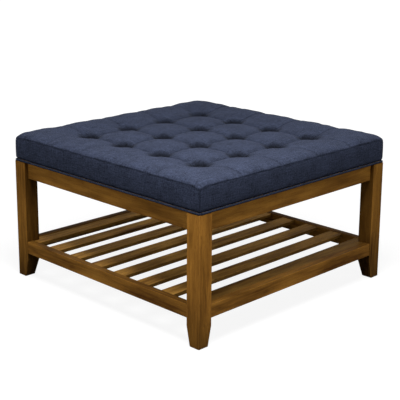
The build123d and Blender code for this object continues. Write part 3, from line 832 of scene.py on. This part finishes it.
def side_strip(seed):
    """The right-hand strip: points for places along it and up it, raised or tucked in square to the cloth."""
    along = close_near([-panel_half, panel_half], panel_half, 0.5 * mm, 3.4 * mm, 4 * mm)
    up = np.linspace(0, 1, 49)
    up = up - 0.125 * np.sin(2 * np.pi * up)
    along, up = np.meshgrid(along, up, indexing="ij")
    from_corner = panel_half - np.abs(along)
    top_edge = panel_high - corner_sink(from_corner, 0)
    height = panel_low + up * (top_edge - panel_low)
    from_low, from_high = height - panel_low, top_edge - height
    bulge = 2.4 * mm * (1 - np.abs(2 * up - 1) ** 2.4) * (1 - 0.7 * np.exp(-from_corner / (30 * mm)))
    tucked = 3.6 * mm * np.exp(-((from_low / (4 * mm)) ** 2)) + 0.9 * mm * np.exp(-from_high / (0.8 * mm))
    tucked = tucked + 0.7 * mm * np.exp(-from_corner / (0.8 * mm))
    pucker = ripple(along, (0.012, 0.017, 0.026, 0.041), seed) * 0.34 * mm
    pucker = pucker * (0.25 + np.exp(-np.minimum(from_low, from_high) / (11 * mm)))
    sag = ripple(along + 0.2 * height, (0.09, 0.17, 0.055), seed + 1) * 0.3 * mm
    held = (1 - np.exp(-from_corner / (5 * mm))) * (1 - np.exp(-from_low / (4 * mm)))
    raised = bulge - tucked + (pucker + sag) * held
    # Each end takes half of the rounded corner
    turn = np.clip(1 - from_corner / corner_round, 0, 1) * np.pi / 4
    middle = panel_half - corner_round
    out = middle + (corner_round + raised) * np.cos(turn)
    sideways = np.where(turn > 0, np.sign(along) * (middle + (corner_round + raised) * np.sin(turn)), along)
    # Painted shade along the seams: darker at the lower and upper edges and at the corners
    seams = 0.8 * np.exp(-((from_low / (3.5 * mm)) ** 2)) + 0.5 * np.exp(-from_high / (1.5 * mm))
    seams = np.maximum(seams, 0.7 * np.exp(-from_corner / (1.5 * mm)))
    return np.stack([out, sideways, height], axis=-1), np.stack([along, height], axis=-1), seams


for quarters, side in enumerate(("right", "back", "left", "front")):
    points, uv, seams = side_strip(20 + quarters)
    faces = grid_faces(*points.shape[:2])
    strip = cloth_object(
        f"cushion_side_{side}",
        quarter_turned(points, quarters).reshape(-1, 3),
        faces,
        (uv + 0.37 * quarters).reshape(-1, 2),
        navy_cloth,
        f"side_panel_{side}",
    )
    shade_folds(strip, seams)
    lining = strip.modifiers.new("lining", "SOLIDIFY")
    lining.thickness = 1.2 * mm
    lining.offset = -1

# %% [markdown]
# ## Piping
#
# A cord wrapped in a bias strip finishes the lower edge. It is a round section carried along a square path
# with rounded corners. The section swells and narrows slightly, as a hand-fed cord does.

# %% Piping
piping_radius = 3.1 * mm
piping_path_half = 392.8 * mm
piping_bend = 5 * mm
piping_level = 368.8 * mm


def rounded_square(half, bend, straight_count, bend_count):
    """A square path with rounded corners: its points, its outward directions and the length so far."""
    straight = np.linspace(-(half - bend), half - bend, straight_count, endpoint=False)
    turn = np.linspace(0, np.pi / 2, bend_count, endpoint=False)
    x = np.concatenate([np.full(straight_count, half), half - bend + bend * np.cos(turn)])
    y = np.concatenate([straight, half - bend + bend * np.sin(turn)])
    out_x = np.concatenate([np.ones(straight_count), np.cos(turn)])
    out_y = np.concatenate([np.zeros(straight_count), np.sin(turn)])
    flat = np.zeros_like(x)
    one_side = np.stack([x, y, flat], axis=-1), np.stack([out_x, out_y, flat], axis=-1)
    path, out = (np.concatenate([quarter_turned(part, k) for k in range(4)]) for part in one_side)
    steps = np.linalg.norm(np.diff(path, axis=0, append=path[:1]), axis=-1)
    return path, out, np.concatenate([[0], np.cumsum(steps)])


path, out, length = rounded_square(piping_path_half, piping_bend, 130, 14)
ring_angle = np.linspace(0, 2 * np.pi, 20, endpoint=False)
swell = piping_radius * (1 + 0.035 * ripple(length[:-1], (0.021, 0.034, 0.057), 31))
upright = np.array([0, 0, 1.0])
section = np.cos(ring_angle)[None, :, None] * out[:, None] + np.sin(ring_angle)[None, :, None] * upright
tube = path[:, None] + swell[:, None, None] * section + np.array([0, 0, piping_level])
rows, columns = tube.shape[:2]
tube = np.concatenate([tube, tube[:1]])
tube = np.concatenate([tube, tube[:, :1]], axis=1)
tube_uv = np.stack(
    np.meshgrid(length, np.linspace(0, 2 * np.pi * piping_radius, columns + 1), indexing="ij"), axis=-1
)
piping_cloth = cloth_object(
    "piping_cloth",
    tube.reshape(-1, 3),
    grid_faces(rows + 1, columns + 1)[:, ::-1],
    tube_uv.reshape(-1, 2),
    navy_bias_cloth,
    "piping",
)
# The whole piping is painted a little darker: painted shade
shade_folds(piping_cloth, np.full(len(piping_cloth.data.vertices), 0.35))
weld = piping_cloth.modifiers.new("close the ends", "WELD")
weld.merge_threshold = 0.01 * mm

# %% [markdown]
# ## Buttons
#
# At the bottom of each dimple sits a button covered with the same cloth. Its outline is turned round its
# axis: a low dome that rolls over its rim and tucks under. The stretched cover shows faint folds at the
# rim. The buttons lie deep in the cushion, so they get nearly the same fold shade as the funnels.

# %% Buttons
button_radius = 10 * mm
button_level = 430 * mm
profile_out = np.array([0.0, 0.25, 0.5, 0.72, 0.88, 0.97, 1.0, 0.96, 0.84, 0.6]) * button_radius
profile_up = np.array([3.6, 3.5, 3.3, 2.9, 2.3, 1.7, 1.2, 0.6, 0.2, 0.05]) * mm
around = np.linspace(0, 2 * np.pi, 33)
button_points, button_uv, button_faces = [], [], []
for index, (x, y) in enumerate([(x, y) for x in tuft_lines for y in tuft_lines]):
    radius = profile_out[:, None] * (1 + 0.02 * np.sin(11 * around + index))[None, :]
    piece = np.stack(
        [
            x + radius * np.cos(around),
            y + radius * np.sin(around),
            button_level + np.broadcast_to(profile_up[:, None], radius.shape),
        ],
        axis=-1,
    )
    start = index * radius.size
    button_faces.append(grid_faces(*radius.shape) + start)
    button_points.append(piece.reshape(-1, 3))
    button_uv.append(piece[..., :2].reshape(-1, 2))
buttons = cloth_object(
    "button_covers",
    np.concatenate(button_points),
    np.concatenate(button_faces),
    np.concatenate(button_uv),
    navy_cloth,
    "tuft_buttons",
)
shade_folds(buttons, np.full(len(buttons.data.vertices), 0.8))
weld = buttons.modifiers.new("close the middle", "WELD")
weld.merge_threshold = 0.01 * mm

# %% [markdown]
# ## Dust cover
#
# A thin black cloth closes the underside, held between the seat board and the frame. Between the aprons it
# hangs free and sags a little under its own weight.

# %% Dust cover
cover_half = 383 * mm
free_half = 356 * mm
cover_level = 365.25 * mm
line_count = 90
lines = np.linspace(-cover_half, cover_half, line_count)
grid_x, grid_y = np.meshgrid(lines, lines, indexing="ij")
inside = np.clip(1 - (grid_x / free_half) ** 2, 0, 1) * np.clip(1 - (grid_y / free_half) ** 2, 0, 1)
sag = -1.8 * mm * np.sqrt(inside) - 0.35 * mm * ripple(grid_x + grid_y, (0.09, 0.14), 41) * inside
cover_points = np.stack([grid_x, grid_y, cover_level + sag], axis=-1)
dust_cover = cloth_object(
    "dust_cover_cloth",
    cover_points.reshape(-1, 3),
    grid_faces(line_count, line_count),
    cover_points[..., :2].reshape(-1, 2),
    dust_cloth,
    "dust_cover",
)
body = dust_cover.modifiers.new("cloth thickness", "SOLIDIFY")
body.thickness = 0.4 * mm
body.offset = 1

# %% [markdown]
# ## Floor and light
#
# The photograph has a white ground. The floor is a plain pale surface that also glows for the camera alone,
# so that it looks white while it throws only a little plain light back on the table and keeps the shadow. A
# large soft lamp hangs high over the front left corner. The world is four soft walls, one facing each side
# of the table, bright low down and dark overhead, so all four sides are lit alike. The camera sees white.

# %% Floor
floor_half = 30
floor_corners = [(x * floor_half, y * floor_half, 0) for x, y in ((-1, -1), (1, -1), (1, 1), (-1, 1))]
floor_mesh = bpy.data.meshes.new("floor")
floor_mesh.from_pydata(floor_corners, [], [(0, 1, 2, 3)])
floor = bpy.data.objects.new("floor", floor_mesh)
bpy.context.collection.objects.link(floor)
floor_material, tree, shader = new_material("pale floor")
floor_mesh.materials.append(floor_material)
seen = tree.nodes.new("ShaderNodeLightPath").outputs["Is Camera Ray"]
across, along, _ = split(tree, object_place(tree))
own_light = spread(tree, distance(tree, across, along), 0.7, 2.6, 0.88, 1.0)
bright = mix_values(tree, seen, 0.12, 0.2)
tree.links.new(combine(tree, bright, bright, bright), shader.inputs["Base Color"])
shader.inputs["Roughness"].default_value = 0.9
shader.inputs["Specular IOR Level"].default_value = 0.0
shader.inputs["Emission Color"].default_value = (1, 1, 1, 1)
tree.links.new(calc(tree, "MULTIPLY", seen, own_light), shader.inputs["Emission Strength"])

# %% Light
lamp_place, lamp_aim = Vector((-0.5, -0.5, 1.65)), Vector((-0.5, -0.5, 0.4))
lamp = bpy.data.lights.new("overhead lamp", "AREA")
lamp.shape = "SQUARE"
lamp.size = 0.9
lamp.energy = 33
lamp_object = bpy.data.objects.new("overhead lamp", lamp)
lamp_object.location = lamp_place
lamp_object.rotation_euler = (lamp_aim - lamp_place).to_track_quat("-Z", "Y").to_euler()
lamp_object.visible_camera = False
bpy.context.collection.objects.link(lamp_object)

world = bpy.data.worlds.new("studio")
bpy.context.scene.world = world
world.use_nodes = True
tree = world.node_tree
# Four soft walls stand round the table, one facing each side, under a dark ceiling
across, along, steepness = split(tree, tree.nodes.new("ShaderNodeTexCoord").outputs["Generated"])
larger = calc(tree, "MAXIMUM", calc(tree, "ABSOLUTE", across), calc(tree, "ABSOLUTE", along))
facing = calc(tree, "DIVIDE", larger, distance(tree, across, along))
bright_low = spread(tree, steepness, 0.0, 0.25, 0.2, 2.1)
dark_ceiling = spread(tree, steepness, 0.4, 0.7, 1.0, 0.03)
walls = calc(tree, "MULTIPLY", bright_low, dark_ceiling)
walls = calc(tree, "MULTIPLY", walls, spread(tree, facing, 0.86, 0.975, 0.1, 1.0))
seen = tree.nodes.new("ShaderNodeLightPath").outputs["Is Camera Ray"]
tree.nodes["Background"].inputs["Color"].default_value = (1, 1, 1, 1)
tree.links.new(mix_values(tree, seen, walls, 1.0), tree.nodes["Background"].inputs["Strength"])
